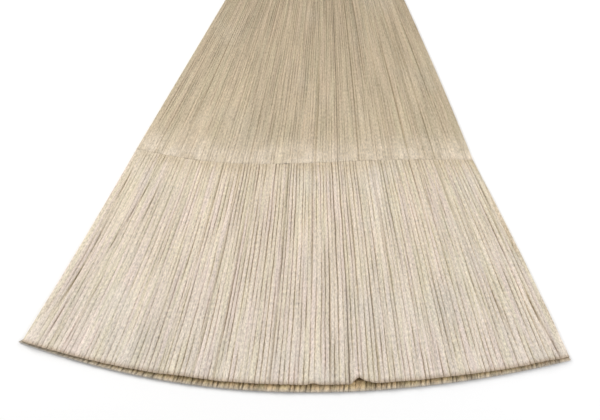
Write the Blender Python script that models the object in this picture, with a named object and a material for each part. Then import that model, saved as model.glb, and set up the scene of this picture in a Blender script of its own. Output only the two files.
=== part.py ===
"""Two-tier pleated skirt, lying flat with its front face up.

Units are metres. +X runs across the skirt to the right, +Y from the hem to the waist, +Z up from the
surface that it lies on. The origin is at the middle of the skirt's outline, on that surface.
Each pleat is one straight fold that runs from the waist, over the tier seam, down to the hem.
"""

import math

import bpy

# The lines that cross the skirt as it lies: their two ends, the sag of the middle, and the skew by which the
# left half hangs lower than the right. Heights are measured from a line across the lower tier
BAND_TOP = {"left": (-0.127, 0.540), "right": (0.192, 0.540), "sag": 0.004, "skew": 0.000}
WAIST = {"left": (-0.127, 0.510), "right": (0.192, 0.510), "sag": 0.004, "skew": 0.000}
TIER_SEAM = {"left": (-0.2985, 0.1195), "right": (0.3135, 0.0970), "sag": 0.0185, "skew": 0.008}
FRONT_HEM = {"left": (-0.456, -0.236), "right": (0.4385, -0.262), "sag": 0.060, "skew": 0.002}
BACK_HEM = {"left": (-0.461, -0.239), "right": (0.4400, -0.2725), "sag": 0.0725, "skew": 0.0025}

# How far each tier's sides bow out
UPPER_BOW = {"left": 0.000, "right": 0.003}
LOWER_BOW = {"left": -0.002, "right": 0.003}
NO_BOW = {"left": 0.0, "right": 0.0}

# Cloth and gaps
STITCH_GAP = 0.0003
BACK_WALL = 0.0012
BAND_WALL = 0.0034
BAND_WALL_AT_SIDE = 0.0020
SIDE_WALL = 0.0015
LAYER_Z = 0.0037
SIDE_FOLD_SHARE = 0.0115

# Pleats: the closing seam lies in a valley between the front's two parts
PLEATS_LEFT_OF_SEAM = 57
PLEATS_RIGHT_OF_SEAM = 39
FACE_PLEATS = PLEATS_LEFT_OF_SEAM + PLEATS_RIGHT_OF_SEAM
SEAM_SHARE = 0.599
WIDTH_CHANGE = 0.22
RIDGE_CHANGE = 0.05
RIDGE_STEP = 3
DEPTH_CHANGE = 0.18
DEPTH_START = 40
BACK_RIB_SHARE = 0.72
BACK_HEM_RIB = 0.0033
BACK_HEM_TALLEST = 0.0039

# The waves that make the pleats uneven: their share, their step from one pleat to the next, and their start
UNEVEN_WAVES = [
    {"share": 0.5, "step": 2.40, "start": 0.7},
    {"share": 0.3, "step": 5.10, "start": 0.0},
    {"share": 0.2, "step": 0.43, "start": 2.0},
]

# Broad, shallow swells where the pleats bunch and part: height of all, and for each its share, the turns that
# it makes across the skirt, the part of a turn that it slants by down a tier, and its start
SWELL_HEIGHT = 0.0008
SWELLS = [
    {"share": 0.3, "turns": 6.3, "slant": 0.25, "start": 1.1},
    {"share": 0.2, "turns": 17.0, "slant": 0.21, "start": 2.2},
]

# Rows from the waist to the tier seam: share of the way, pleat depth, wall and rise of the front layer, and
# how much of the hem's curls reaches there
UPPER_ROWS = [
    {"share": 0.00, "pleat": 0.0011, "wall": 0.0015, "rise": 0.0000, "curl": 0.0},
    {"share": 0.50, "pleat": 0.0016, "wall": 0.0015, "rise": 0.0003, "curl": 0.0},
    {"share": 0.94, "pleat": 0.0015, "wall": 0.0015, "rise": 0.0013, "curl": 0.0},
    {"share": 1.00, "pleat": 0.0007, "wall": 0.0015, "rise": 0.0000, "curl": 0.0},
]

# Rows from the tier seam to the hem, whose last stretch is the turned-up, doubled edge
LOWER_ROWS = [
    {"share": 0.00, "pleat": 0.0007, "wall": 0.0015, "rise": 0.0000, "curl": 0.0},
    {"share": 0.06, "pleat": 0.0022, "wall": 0.0015, "rise": 0.0006, "curl": 0.0},
    {"share": 0.50, "pleat": 0.0029, "wall": 0.0015, "rise": 0.0002, "curl": 0.0},
    {"share": 0.96, "pleat": 0.0031, "wall": 0.0016, "rise": 0.0006, "curl": 0.6},
    {"share": 1.00, "pleat": 0.0031, "wall": 0.0021, "rise": 0.0009, "curl": 1.0},
]

# Rows of the waistband from its folded top to the waist seam: share of the way, and how much thinner it is
BAND_STEPS = 48
BAND_GATHER = 0.0006
BAND_ROWS = [
    {"share": 0.00, "thin": 0.0009},
    {"share": 0.09, "thin": 0.0000},
    {"share": 0.93, "thin": 0.0000},
    {"share": 1.00, "thin": 0.0006},
]

# Places where the front hem curls up and back: share across, half width, lift and pull towards the waist
HEM_CURLS = [
    {"across": 0.300, "half": 0.060, "lift": 0.0008, "pull": 0.001},
    {"across": 0.533, "half": 0.015, "lift": 0.0015, "pull": 0.002},
    {"across": 0.617, "half": 0.017, "lift": 0.0028, "pull": 0.006},
    {"across": 0.780, "half": 0.070, "lift": 0.0008, "pull": 0.000},
    {"across": 0.950, "half": 0.045, "lift": 0.0016, "pull": 0.001},
]

# The rounded fold at each side: inset from the side line and height, outside and inside the wall
SIDE_FOLD = [
    {"outer_in": 0.0000, "outer_z": 0.0000, "inner_in": 0.0015, "inner_z": 0.0000},
    {"outer_in": 0.0000, "outer_z": 0.0034, "inner_in": 0.0015, "inner_z": 0.0028},
    {"outer_in": 0.0008, "outer_z": 0.0054, "inner_in": 0.0020, "inner_z": 0.0041},
    {"outer_in": 0.0024, "outer_z": 0.0064, "inner_in": 0.0029, "inner_z": 0.0048},
]

# Colours in linear light: the upper tier is more golden, and the back shows its shaded inner face at the hem
CLOTH_COLOURS = {
    "waistband": (0.50, 0.41, 0.28, 1.0),
    "upper_front": (0.53, 0.44, 0.31, 1.0),
    "upper_back": (0.48, 0.39, 0.27, 1.0),
    "lower_front": (0.65, 0.55, 0.43, 1.0),
    "lower_back": (0.41, 0.31, 0.20, 1.0),
}
CLOTH_ROUGHNESS = 0.55


def mix(a, b, share):
    return a + (b - a) * share


def clear_scene():
    for thing in list(bpy.data.objects):
        bpy.data.objects.remove(thing, do_unlink=True)


def cloth_material(node):
    """The cloth of one piece, in the colour that its place on the skirt has."""
    material = bpy.data.materials.new(f"{node}_cloth")
    material.use_nodes = True
    shader = material.node_tree.nodes["Principled BSDF"]
    place = next(key for key in CLOTH_COLOURS if node.startswith(key))
    shader.inputs["Base Color"].default_value = CLOTH_COLOURS[place]
    shader.inputs["Roughness"].default_value = CLOTH_ROUGHNESS
    shader.inputs["Metallic"].default_value = 0.0
    return material


def on_line(line, across):
    """The point of a crossing line at a share of the way from its left end to its right end."""
    x = mix(line["left"][0], line["right"][0], across)
    y = mix(line["left"][1], line["right"][1], across)
    y -= line["sag"] * (1 - (2 * across - 1) ** 2) + line["skew"] * math.sin(2 * math.pi * across)
    return x, y


HEM_SAMPLES = 400
LOWEST_Y = min(on_line(BACK_HEM, step / HEM_SAMPLES)[1] for step in range(HEM_SAMPLES + 1))
MIDDLE_X = (BACK_HEM["left"][0] + BACK_HEM["right"][0]) / 2
MIDDLE_Y = (LOWEST_Y + BAND_TOP["left"][1]) / 2


def between(top, bottom, bow, across, down):
    """A point of a tier, by its share of the way across and down, with a half gap left at each seam."""
    x_top, y_top = on_line(top, across)
    x_bottom, y_bottom = on_line(bottom, across)
    y = mix(y_top - STITCH_GAP / 2, y_bottom + STITCH_GAP / 2, down)
    x = mix(x_top, x_bottom, down) + math.sin(math.pi * down) * mix(-bow["left"], bow["right"], across)
    return x - MIDDLE_X, y - MIDDLE_Y


def uneven(index):
    """A steady mix of waves between -1 and 1, so that no two pleats side by side are alike."""
    return sum(wave["share"] * math.sin(wave["step"] * index + wave["start"]) for wave in UNEVEN_WAVES)


def pleat_lines(first, count, start, end):
    """The folds of a run of pleats: (share across, pleat number, 1 on a ridge or 0 in a valley)."""
    widths = [1 + WIDTH_CHANGE * uneven(first + i) for i in range(count)]
    scale = (end - start) / sum(widths)
    folds = [(start, first, 0)]
    place = start
    for i, width in enumerate(widths):
        middle = place + width * scale * (0.5 + RIDGE_CHANGE * uneven(RIDGE_STEP * i + first))
        place += width * scale
        folds.append((middle, first + i, 1))
        folds.append((place, first + i + 1, 0))
    return folds


def pleat_depth(row, number):
    return row["pleat"] * (1 + DEPTH_CHANGE * uneven(number + DEPTH_START))


def soft_wave(across, down):
    """The height of the swells in the upper layer, which die out towards the sides."""
    total = 0.0
    for swell in SWELLS:
        turn = swell["turns"] * across + swell["slant"] * down
        total += swell["share"] * (1 + math.sin(2 * math.pi * turn + swell["start"]))
    return SWELL_HEIGHT * math.sin(math.pi * across) ** 0.5 * total


def hem_curl(across, key, side):
    """The lift or pull of the curled places of the front hem, on the part of the front that they lie on."""
    total = 0.0
    for curl in HEM_CURLS:
        away = abs(across - curl["across"]) / curl["half"]
        same_part = (curl["across"] > SEAM_SHARE) == (side == "right")
        if away < 1 and same_part:
            total += curl[key] * (0.5 + 0.5 * math.cos(math.pi * away))
    return total


def closed_sheet(name, outer, inner):
    """A closed wall between two grids of points, given row by row, added to the scene as one object."""
    rows, columns = len(outer), len(outer[0])
    points = [p for row in outer for p in row] + [p for row in inner for p in row]
    below = rows * columns

    def at(row, column, layer=0):
        return layer * below + row * columns + column

    faces = []
    for r in range(rows - 1):
        for c in range(columns - 1):
            a, b, d, e = at(r, c), at(r + 1, c), at(r + 1, c + 1), at(r, c + 1)
            faces += [(a, b, d), (a, d, e)]
            faces += [(a + below, d + below, b + below), (a + below, e + below, d + below)]
    for r in range(rows - 1):
        for c, turned in ((0, False), (columns - 1, True)):
            rim = (at(r, c), at(r, c, 1), at(r + 1, c, 1), at(r + 1, c))
            faces.append(rim[::-1] if turned else rim)
    for c in range(columns - 1):
        for r, turned in ((0, True), (rows - 1, False)):
            rim = (at(r, c), at(r, c, 1), at(r, c + 1, 1), at(r, c + 1))
            faces.append(rim[::-1] if turned else rim)
    mesh = bpy.data.meshes.new(name)
    mesh.from_pydata(points, [], faces)
    mesh.materials.append(cloth_material(name))
    thing = bpy.data.objects.new(name, mesh)
    bpy.context.scene.collection.objects.link(thing)
    return thing


def side_fold_columns(tier, down, side):
    """The rounded edge where the front wall turns down to the surface: one row's outer and inner points."""
    across = 0.0 if side == "left" else 1.0
    inwards = 1 if side == "left" else -1
    x, y = between(tier["top"], tier["bottom"], tier["bow"], across, down)
    outer = [(x + inwards * step["outer_in"], y, step["outer_z"]) for step in SIDE_FOLD]
    inner = [(x + inwards * step["inner_in"], y, step["inner_z"]) for step in SIDE_FOLD]
    return outer, inner


def front_part(name, side, tier):
    """One part of a tier's front wall, from its side fold to the closing seam, pleated all the way."""
    to_seam = -STITCH_GAP / 2 if side == "left" else STITCH_GAP / 2
    if side == "left":
        folds = pleat_lines(0, PLEATS_LEFT_OF_SEAM, SIDE_FOLD_SHARE, SEAM_SHARE)
    else:
        folds = pleat_lines(PLEATS_LEFT_OF_SEAM, PLEATS_RIGHT_OF_SEAM, SEAM_SHARE, 1 - SIDE_FOLD_SHARE)
    seam_fold = folds[-1] if side == "left" else folds[0]
    outer, inner = [], []
    for row in tier["rows"]:
        down = row["share"]
        top_row, under_row = [], []
        for fold in folds:
            across, number, ridge = fold
            x, y = between(tier["top"], tier["bottom"], tier["bow"], across, down)
            x += to_seam if fold is seam_fold else 0.0
            z = LAYER_Z + row["rise"] + soft_wave(across, down) + ridge * pleat_depth(row, number)
            z += row["curl"] * hem_curl(across, "lift", side)
            y += row["curl"] * hem_curl(across, "pull", side)
            top_row.append((x, y, z + row["wall"]))
            under_row.append((x, y, z))
        edge_outer, edge_inner = side_fold_columns(tier, down, side)
        if side == "left":
            outer.append(edge_outer + top_row)
            inner.append(edge_inner + under_row)
        else:
            outer.append(top_row + edge_outer[::-1])
            inner.append(under_row + edge_inner[::-1])
    return closed_sheet(name, outer, inner)


def ribbed_row(top, bottom, bow, down, inset, depth, highest):
    """One row of a back panel's upper face: its ribs, and a flat margin of cloth at each side."""
    row = []
    for across, number, ridge in pleat_lines(FACE_PLEATS, FACE_PLEATS, SIDE_FOLD_SHARE, 1 - SIDE_FOLD_SHARE):
        x, y = between(top, bottom, bow, across, down)
        rib = min(depth * (1 + DEPTH_CHANGE * uneven(number)), highest)
        row.append((x, y, BACK_WALL + ridge * rib))
    x_left, y_left = between(top, bottom, bow, 0.0, down)
    x_right, y_right = between(top, bottom, bow, 1.0, down)
    return [(x_left + inset, y_left, BACK_WALL)] + row + [(x_right - inset, y_right, BACK_WALL)]


def back_panel(name, tier):
    """A tier's back wall: flat where it rests, ribbed on the inner face that the front lies on.

    Past the front's hem its ribs stand free and taller, and it spreads to its full width.
    """
    top, front_bottom, back_bottom, bow = tier["top"], tier["bottom"], tier["back_bottom"], tier["bow"]
    inset = SIDE_WALL + STITCH_GAP
    room = LAYER_Z - STITCH_GAP - BACK_WALL
    outer = [
        ribbed_row(top, front_bottom, bow, row["share"], inset, BACK_RIB_SHARE * row["pleat"], room)
        for row in tier["rows"]
    ]
    if back_bottom is not front_bottom:
        outer.append(ribbed_row(top, back_bottom, bow, 1.0, 0.0, BACK_HEM_RIB, BACK_HEM_TALLEST))
    under = [[(x, y, 0.0) for x, y, z in row] for row in outer]
    return closed_sheet(name, outer, under)


def band_gather(step):
    """How far the waistband's cloth sinks between the gathers that its elastic draws up."""
    return BAND_GATHER * (0.5 + 0.5 * uneven(step)) if step % 2 else 0.0


def waistband_front():
    """The front half of the waistband: a folded casing that turns down at both sides."""
    outer, inner = [], []
    for row in BAND_ROWS:
        down = row["share"]
        crown = LAYER_Z + BAND_WALL - row["thin"]
        left_outer, left_inner = side_fold_columns(WAISTBAND, down, "left")
        right_outer, right_inner = side_fold_columns(WAISTBAND, down, "right")
        top_row, under_row = [], []
        for step in range(1, BAND_STEPS):
            x, y = between(BAND_TOP, WAIST, NO_BOW, step / BAND_STEPS, down)
            top_row.append((x, y, crown - band_gather(step)))
            under_row.append((x, y, LAYER_Z))
        outer.append(left_outer + top_row + right_outer[::-1])
        inner.append(left_inner + under_row + right_inner[::-1])
    return closed_sheet("waistband_front", outer, inner)


def waistband_back():
    """The back half of the waistband, flat on the surface inside the front half's turned-down sides."""
    room = SIDE_WALL + STITCH_GAP
    outer = []
    for row in BAND_ROWS:
        crown = BAND_WALL - row["thin"]
        x_left, y_left = between(BAND_TOP, WAIST, NO_BOW, 0.0, row["share"])
        x_right, y_right = between(BAND_TOP, WAIST, NO_BOW, 1.0, row["share"])
        top_row = [(x_left + room, y_left, BAND_WALL_AT_SIDE)]
        for step in range(1, BAND_STEPS):
            x, y = between(BAND_TOP, WAIST, NO_BOW, step / BAND_STEPS, row["share"])
            top_row.append((x, y, crown - band_gather(step)))
        outer.append(top_row + [(x_right - room, y_right, BAND_WALL_AT_SIDE)])
    under = [[(x, y, 0.0) for x, y, z in row] for row in outer]
    return closed_sheet("waistband_back", outer, under)


WAISTBAND = {"top": BAND_TOP, "bottom": WAIST, "bow": NO_BOW}
UPPER_TIER = {"top": WAIST, "bottom": TIER_SEAM, "back_bottom": TIER_SEAM, "bow": UPPER_BOW}
LOWER_TIER = {"top": TIER_SEAM, "bottom": FRONT_HEM, "back_bottom": BACK_HEM, "bow": LOWER_BOW}
UPPER_TIER["rows"] = UPPER_ROWS
LOWER_TIER["rows"] = LOWER_ROWS


def main():
    clear_scene()
    for tier_name, tier in (("upper", UPPER_TIER), ("lower", LOWER_TIER)):
        back_panel(f"{tier_name}_back", tier)
        front_part(f"{tier_name}_front_left", "left", tier)
        front_part(f"{tier_name}_front_right", "right", tier)
    waistband_back()
    waistband_front()


main()
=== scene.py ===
"""The looks of a pleated skirt in two tiers, laid flat with its front up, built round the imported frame.

Lengths are metres. +X runs across the skirt to the right, +Y from the hem to the waistband, +Z up.
"""
import math

import bpy
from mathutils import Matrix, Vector


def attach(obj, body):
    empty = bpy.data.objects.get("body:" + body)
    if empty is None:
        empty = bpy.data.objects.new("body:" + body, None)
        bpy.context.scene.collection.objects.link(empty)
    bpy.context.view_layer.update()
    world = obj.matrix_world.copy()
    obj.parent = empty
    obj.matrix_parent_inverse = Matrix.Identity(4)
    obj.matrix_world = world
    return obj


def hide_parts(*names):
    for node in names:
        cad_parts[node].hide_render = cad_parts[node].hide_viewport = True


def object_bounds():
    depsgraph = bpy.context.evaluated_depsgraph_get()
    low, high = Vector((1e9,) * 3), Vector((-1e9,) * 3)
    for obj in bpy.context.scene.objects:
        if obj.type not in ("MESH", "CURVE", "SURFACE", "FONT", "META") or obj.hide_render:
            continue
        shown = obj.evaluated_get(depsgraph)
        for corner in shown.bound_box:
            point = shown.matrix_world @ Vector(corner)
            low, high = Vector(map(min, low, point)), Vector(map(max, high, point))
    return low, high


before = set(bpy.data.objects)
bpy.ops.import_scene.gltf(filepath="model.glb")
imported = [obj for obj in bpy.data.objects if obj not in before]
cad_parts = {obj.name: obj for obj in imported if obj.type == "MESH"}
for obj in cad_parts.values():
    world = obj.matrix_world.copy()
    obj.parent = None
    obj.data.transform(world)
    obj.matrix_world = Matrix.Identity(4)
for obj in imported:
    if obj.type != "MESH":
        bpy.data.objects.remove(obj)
cad_low, cad_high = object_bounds()


def table(columns, rows):
    """Rows of values under named columns."""
    return [dict(zip(columns.split(), row)) for row in rows]


def add_object(name, data):
    """A new object in the scene that shows the data."""
    thing = bpy.data.objects.new(name, data)
    bpy.context.scene.collection.objects.link(thing)
    return thing


# Camera
# The skirt is seen by someone who stands at its hem and looks down over it, so that it narrows away from
# them. The lens is a plain 50 mm one, tilted down by 65 degrees and aimed at the floor below the lower tier.
CAMERA_TILT = 65
CAMERA_DISTANCE = 1.470
CAMERA_AIM = (0.0105, -0.1059, 0.0)
LENS = 50

camera_data = bpy.data.cameras.new("camera")
camera_data.lens = LENS
camera = add_object("camera", camera_data)
tilt = math.radians(CAMERA_TILT)
camera.location = Vector(CAMERA_AIM) + CAMERA_DISTANCE * Vector((0, -math.cos(tilt), math.sin(tilt)))
camera.rotation_euler = (math.radians(90 - CAMERA_TILT), 0, 0)
bpy.context.scene.camera = camera


# Floor and light
# The skirt lies on a plain white floor. A broad soft light stands on the left, beyond the seam, a weaker one
# on the right, and the white room lights the rest, so that the pleats show without hard shadows.
FLOOR_SIZE = 8.0
FLOOR_WHITE = (0.92, 0.92, 0.92, 1.0)
FLOOR_ROUGHNESS = 0.9
ROOM_WHITE = (1.0, 1.0, 1.0, 1.0)
ROOM_LIGHT = 0.56
LIGHTS = table("name at size power colour", [
    ("key", (-1.4, 1.0, 1.5), 1.3, 36.0, (1.0, 0.99, 0.975)),
    ("fill", (1.9, 0.1, 1.25), 1.4, 23.5, (0.97, 0.98, 1.0)),
])

bpy.ops.mesh.primitive_plane_add(size=FLOOR_SIZE, location=(0, 0, 0))
floor = bpy.context.object
floor.name = "floor"
floor_paint = bpy.data.materials.new("floor_paint")
floor_paint.use_nodes = True
floor_shader = floor_paint.node_tree.nodes["Principled BSDF"]
floor_shader.inputs["Base Color"].default_value = FLOOR_WHITE
floor_shader.inputs["Roughness"].default_value = FLOOR_ROUGHNESS
floor.data.materials.append(floor_paint)

for light in LIGHTS:
    lamp = bpy.data.lights.new(light["name"], "AREA")
    lamp.size = light["size"]
    lamp.energy = light["power"]
    lamp.color = light["colour"]
    lamp_object = add_object(light["name"], lamp)
    lamp_object.location = light["at"]
    lamp_object.rotation_euler = (-Vector(light["at"])).to_track_quat("-Z", "Y").to_euler()

room = bpy.data.worlds.new("room")
room.use_nodes = True
room.node_tree.nodes["Background"].inputs["Color"].default_value = ROOM_WHITE
room.node_tree.nodes["Background"].inputs["Strength"].default_value = ROOM_LIGHT
bpy.context.scene.world = room
bpy.context.scene.view_settings.view_transform = "Standard"


# Lower tier, front
# The wide lower tier is a tube of light woven cloth, pressed into fine lengthwise pleats. Its front is cut in
# two parts, which the closing seam joins right of the middle, and its hem is turned up by 18 mm and stitched.
LOWER_WIDTH = 0.75
LOWER_LENGTH = 0.400
HEM_ALLOWANCE = 0.018
SEAM_ALLOWANCE = 0.010
LOWER_CLOTH_PER_PLEAT = 0.0096
LOWER_CUT_LENGTH = LOWER_LENGTH + HEM_ALLOWANCE + SEAM_ALLOWANCE

# The lines that cross the skirt are measured from a point on the lower tier, with the waistband's top at this
# height above it. The frame's origin lies here in that measure
BAND_TOP_Y = 0.540
MIDDLE_X = -0.0105
MIDDLE_Y = BAND_TOP_Y - cad_high.y


def crossing_line(left, right, sag, skew=0.0):
    """A line across the skirt as it lies: its ends, the sag of its middle, and the drop of its left half."""
    left_end = Vector((left[0] - MIDDLE_X, left[1] - MIDDLE_Y, 0))
    right_end = Vector((right[0] - MIDDLE_X, right[1] - MIDDLE_Y, 0))
    return {"left end": left_end, "right end": right_end, "sag": sag, "skew": skew}


TIER_SEAM = crossing_line((-0.2985, 0.1195), (0.3135, 0.0970), 0.0185, 0.008)
FRONT_HEM = crossing_line((-0.456, -0.239), (0.4385, -0.265), 0.0588, 0.002)

# The pleats of a face, on both sides of the closing seam, which lies in a valley. Places across are shares of
# the way from the left side to the right
PLEATS_LEFT_OF_SEAM = 65
PLEATS_RIGHT_OF_SEAM = 43
FACE_PLEATS = PLEATS_LEFT_OF_SEAM + PLEATS_RIGHT_OF_SEAM
SEAM_SHARE = 0.599
SIDE_FOLD_SHARE = 0.0115
FRONT_PARTS = table("side first count start end", [
    ("left", 0, PLEATS_LEFT_OF_SEAM, SIDE_FOLD_SHARE, SEAM_SHARE),
    ("right", PLEATS_LEFT_OF_SEAM, PLEATS_RIGHT_OF_SEAM, SEAM_SHARE, 1 - SIDE_FOLD_SHARE),
])

# How round a rib is, and how its width and the place of its ridge change from pleat to pleat
RIB_ROUNDNESS = 0.45
WIDTH_CHANGE = 0.36
RIDGE_CHANGE = 0.10
RIDGE_STEP = 3
UNEVEN_WAVES = table("share step start", [
    (0.5, 2.40, 0.7),
    (0.3, 5.10, 0.0),
    (0.2, 0.43, 2.0),
])

# The rounded fold at each side, from the floor up: inset from the side line, and height. Its cloth counts as
# partly risen, so that it takes a painted shade of the valleys' colour, and lies this many pleats past the
# face's first or last one
SIDE_STRIP_FOLD = 0.35
SIDE_SHADE_FOLD = 0.40
SIDE_CLOTH_START = 0.8
SIDE_CLOTH_STEP = 0.1
SIDE_FOLD = table("inset height", [
    (0.0010, 0.0004),
    (0.0003, 0.0010),
    (0.0000, 0.0026),
    (0.0003, 0.0042),
    (0.0010, 0.0055),
    (0.0022, 0.0064),
])

# Creases of the lower front: where each starts and ends, as shares across the tier and down it, its depth,
# and its half width where that isn't the usual one
CREASE_STEPS = 16
CREASE_TAPER = 0.30
CREASE_HALF_WIDTH = 0.0012
CREASE_COLUMNS = "across down end_across end_down deep half"
LOWER_CREASES = table(CREASE_COLUMNS, [
    (0.011, -0.02, 0.024, 0.72, 0.0008),
    (0.018, 0.00, 0.036, 0.70, 0.0010, 0.0013),
    (0.017, 0.52, 0.012, 0.90, 0.0009),
    (0.096, -0.08, 0.058, 0.64, 0.0011),
    (0.036, 0.50, 0.023, 0.92, 0.0014, 0.0015),
    (0.046, 0.50, 0.035, 1.02, 0.0010),
    (0.054, 0.76, 0.047, 1.20, 0.0008),
    (0.083, 0.58, 0.073, 1.02, 0.0008),
    (0.117, -0.10, 0.104, 0.50, 0.0008),
    (0.180, 0.28, 0.176, 0.92, 0.0007),
    (0.264, -0.40, 0.258, 1.40, 0.0008, 0.0013),
    (0.316, -0.50, 0.316, 1.50, 0.0008, 0.0013),
    (0.353, -0.10, 0.352, 1.50, 0.0011),
    (0.370, -0.30, 0.366, 0.65, 0.0008),
    (0.418, -0.30, 0.419, 0.70, 0.0010, 0.0013),
    (0.453, -0.40, 0.454, 1.50, 0.0011),
    (0.482, -0.30, 0.479, 0.60, 0.0008),
    (0.521, -0.40, 0.524, 0.80, 0.0011),
    (0.563, 0.20, 0.566, 1.50, 0.0012),
    (0.579, -0.40, 0.581, 0.85, 0.0009, 0.0013),
    (0.5990, -0.60, 0.5992, 1.80, 0.0010, 0.0013),
    (0.5991, 0.66, 0.5992, 1.70, 0.0017, 0.0018),
    (0.621, -0.40, 0.622, 1.10, 0.0010),
    (0.650, 0.18, 0.655, 1.50, 0.0012),
    (0.673, 0.42, 0.677, 1.30, 0.0008, 0.0013),
    (0.693, -0.05, 0.698, 0.80, 0.0010, 0.0013),
    (0.722, -0.30, 0.727, 0.60, 0.0010),
    (0.753, 0.32, 0.757, 1.30, 0.0008, 0.0013),
    (0.769, -0.25, 0.774, 0.50, 0.0010),
    (0.785, 0.36, 0.790, 1.00, 0.0008, 0.0013),
    (0.806, -0.20, 0.812, 0.45, 0.0009),
    (0.839, -0.20, 0.826, 0.40, 0.0012),
    (0.868, 0.48, 0.877, 1.00, 0.0008, 0.0013),
    (0.880, -0.10, 0.885, 0.50, 0.0009),
    (0.908, -0.06, 0.908, 0.60, 0.0011),
    (0.898, 0.55, 0.916, 0.95, 0.0012, 0.0015),
    (0.986, 0.02, 0.969, 0.50, 0.0008, 0.0013),
    (0.955, 0.22, 0.966, 0.66, 0.0008, 0.0013),
    (0.954, 0.64, 0.975, 1.08, 0.0009),
    (0.965, 0.58, 0.985, 1.06, 0.0014, 0.0015),
])

# Broad swells where the pleats bunch up: share across, half width, height, and from where to where down the
# tier they run
LOWER_SWELLS = table("across half high from to", [
    (0.120, 0.022, 0.0010, 0.10, 0.80),
    (0.300, 0.016, 0.0012, 0.35, 1.2),
    (0.480, 0.018, 0.0010, -0.2, 0.70),
    (0.634, 0.014, 0.0014, 0.10, 1.2),
    (0.800, 0.020, 0.0010, 0.20, 1.2),
    (0.940, 0.014, 0.0012, -0.2, 0.90),
])

# Places where the front hem curls up and back: share across, half width, lift and pull towards the waist
HEM_CURLS = table("across half lift pull", [
    (0.300, 0.060, 0.0008, 0.001),
    (0.533, 0.015, 0.0018, 0.002),
    (0.613, 0.014, 0.0034, 0.007),
    (0.624, 0.020, 0.0016, 0.004),
    (0.780, 0.070, 0.0008, 0.000),
    (0.950, 0.045, 0.0016, 0.001),
])


def mix(low, high, share):
    return low + (high - low) * share


def uneven(index):
    """A steady mix of waves between -1 and 1, so that no two pleats side by side are alike."""
    return sum(wave["share"] * math.sin(wave["step"] * index + wave["start"]) for wave in UNEVEN_WAVES)


COLUMN_FACTS = (
    "inset fold pleat valley side side_height inwards cloth swell swell_from swell_to curl_lift curl_pull"
).split()


def column(across, **facts):
    """What a panel's tree reads at one column of its points, from the waist to the hem."""
    made = dict.fromkeys(COLUMN_FACTS, 0.0)
    made.update(facts, across=across)
    return made


def pleat_columns(first, count, start, end, steps):
    """The columns of a run of pleats, closer together by the valleys, where a rib is steepest."""
    widths = [1 + WIDTH_CHANGE * uneven(first + i) for i in range(count)]
    scale = (end - start) / sum(widths)
    columns, place = [], start
    for i, width in enumerate(widths):
        pleat = first + i
        ridge = 0.5 + RIDGE_CHANGE * uneven(RIDGE_STEP * i + first)
        for step in range(steps):
            turn = 0.5 - 0.5 * math.cos(math.pi * step / steps)
            share = 2 * turn * ridge if turn < 0.5 else ridge + (2 * turn - 1) * (1 - ridge)
            columns.append(column(
                place + share * width * scale,
                fold=math.sin(math.pi * turn) ** RIB_ROUNDNESS,
                pleat=pleat,
                valley=pleat + (1 if turn > 0.5 else 0),
                cloth=pleat + turn,
            ))
        place += width * scale
    columns.append(column(place, pleat=first + count - 1, valley=first + count, cloth=first + count))
    # The outer half of the first and last pleat runs on smoothly into the side fold
    for c in columns:
        if c["cloth"] % FACE_PLEATS < 0.5 or c["cloth"] % FACE_PLEATS > FACE_PLEATS - 0.5:
            c["fold"] = max(c["fold"], SIDE_STRIP_FOLD)
    return columns


def side_columns(side):
    """The columns of the rounded fold at one side, from its foot on the floor inwards."""
    across, inwards = (0.0, 1) if side == "left" else (1.0, -1)
    made = []
    for i, step in enumerate(SIDE_FOLD):
        past = SIDE_CLOTH_START + SIDE_CLOTH_STEP * (len(SIDE_FOLD) - i)
        made.append(column(
            across,
            inset=inwards * step["inset"],
            side=1.0,
            side_height=step["height"],
            inwards=inwards,
            # The side fold takes a painted shade of the valleys' colour
            fold=SIDE_SHADE_FOLD,
            cloth=across * FACE_PLEATS - inwards * past,
        ))
    return made if side == "left" else made[::-1]


def lay_swells(columns, swells, width):
    """Gives the columns near each swell its height, and where it starts and ends."""
    for swell in swells:
        for c in columns:
            away = (c["across"] - swell["across"]) * width / swell["half"]
            height = swell["high"] * math.exp(-away * away)
            if height > c["swell"]:
                c["swell"], c["swell_from"], c["swell_to"] = height, swell["from"], swell["to"]


def lay_curls(columns, curls, side):
    """Gives the columns of one part of the front the curls of the hem that lie on it."""
    for c in columns:
        for curl in curls:
            away = abs(c["across"] - curl["across"]) / curl["half"]
            if away < 1 and (curl["across"] > SEAM_SHARE) == (side == "right"):
                share = 0.5 + 0.5 * math.cos(math.pi * away)
                c["curl_lift"] += share * curl["lift"]
                c["curl_pull"] += share * curl["pull"]


def carrier(name, points, pieces, domain, facts):
    """An object of bare points and lines that carries facts for a panel's tree to read."""
    mesh = bpy.data.meshes.new(name)
    mesh.from_pydata(points, pieces, [])
    for fact, values in facts.items():
        attribute = mesh.attributes.new(fact, "FLOAT", domain)
        attribute.data.foreach_set("value", [float(value) for value in values])
    return add_object(name, mesh)


def crease_lines(creases, width, length):
    """Creases as lines drawn on the flat cloth, in short pieces that are shallower towards both ends."""
    points, pieces, deep, half = [], [], [], []
    for crease in creases:
        for step in range(CREASE_STEPS + 1):
            share = step / CREASE_STEPS
            across = mix(crease["across"], crease["end_across"], share)
            down = mix(crease["down"], crease["end_down"], share)
            points.append((across * width, down * length, 0))
            if step:
                to_end = min(step - 0.5, CREASE_STEPS - step + 0.5) / CREASE_STEPS
                pieces.append((len(points) - 2, len(points) - 1))
                deep.append(crease["deep"] * min(1, to_end / CREASE_TAPER))
                half.append(crease.get("half", CREASE_HALF_WIDTH))
    return carrier("crease_lines", points, pieces, "EDGE", {"deep": deep, "half": half})


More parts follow.
